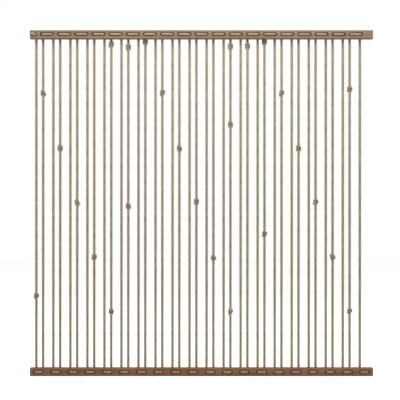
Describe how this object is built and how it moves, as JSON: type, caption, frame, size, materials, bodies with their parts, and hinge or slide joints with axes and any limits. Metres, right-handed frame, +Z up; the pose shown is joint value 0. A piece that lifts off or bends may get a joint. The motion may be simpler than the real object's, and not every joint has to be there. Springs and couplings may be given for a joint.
{
  "type": "rope screen",
  "caption": "Floor-to-ceiling room divider: one twisted rope laced up and down between a slotted timber ceiling rail and floor rail, with knots along its runs.",
  "frame": {"origin": "on the floor, under the middle of the bottom rail", "axes": "+X to the right along the rails seen from the front, +Y to the back, where the rope runs hang, +Z up to the ceiling"},
  "size_m": [2.5, 0.101, 2.52],
  "materials": {
    "top_timber": "clear matt oil on brown-stained timber",
    "bottom_timber": "clear matt oil on brown-stained timber",
    "jute_rope": "dry, hairy three-strand twisted jute"
  },
  "bodies": {
    "root": {"top_rail": "top_timber", "bottom_rail": "bottom_timber", "rope_run_01": "jute_rope", "rope_run_02": "jute_rope", "rope_run_03": "jute_rope", "rope_run_04": "jute_rope", "rope_run_05": "jute_rope", "rope_run_06": "jute_rope", "rope_run_07": "jute_rope", "rope_run_08": "jute_rope", "rope_run_09": "jute_rope", "rope_run_10": "jute_rope", "rope_run_11": "jute_rope", "rope_run_12": "jute_rope", "rope_run_13": "jute_rope", "rope_run_14": "jute_rope", "rope_run_15": "jute_rope", "rope_run_16": "jute_rope", "rope_run_17": "jute_rope", "rope_run_18": "jute_rope", "rope_run_19": "jute_rope", "rope_run_20": "jute_rope", "rope_run_21": "jute_rope", "rope_run_22": "jute_rope", "rope_run_23": "jute_rope", "rope_run_24": "jute_rope", "rope_run_25": "jute_rope", "rope_run_26": "jute_rope", "rope_run_27": "jute_rope", "rope_run_28": "jute_rope", "rope_run_29": "jute_rope", "rope_run_30": "jute_rope", "rope_run_31": "jute_rope", "rope_run_32": "jute_rope", "rope_run_33": "jute_rope", "rope_run_34": "jute_rope", "rope_run_35": "jute_rope", "rope_run_36": "jute_rope", "rope_run_37": "jute_rope", "rope_run_38": "jute_rope", "rope_run_39": "jute_rope", "top_stitches": "jute_rope", "bottom_stitches": "jute_rope", "rope_start_tail": "jute_rope", "rope_end_knot": "jute_rope"}
  },
  "joints": []
}
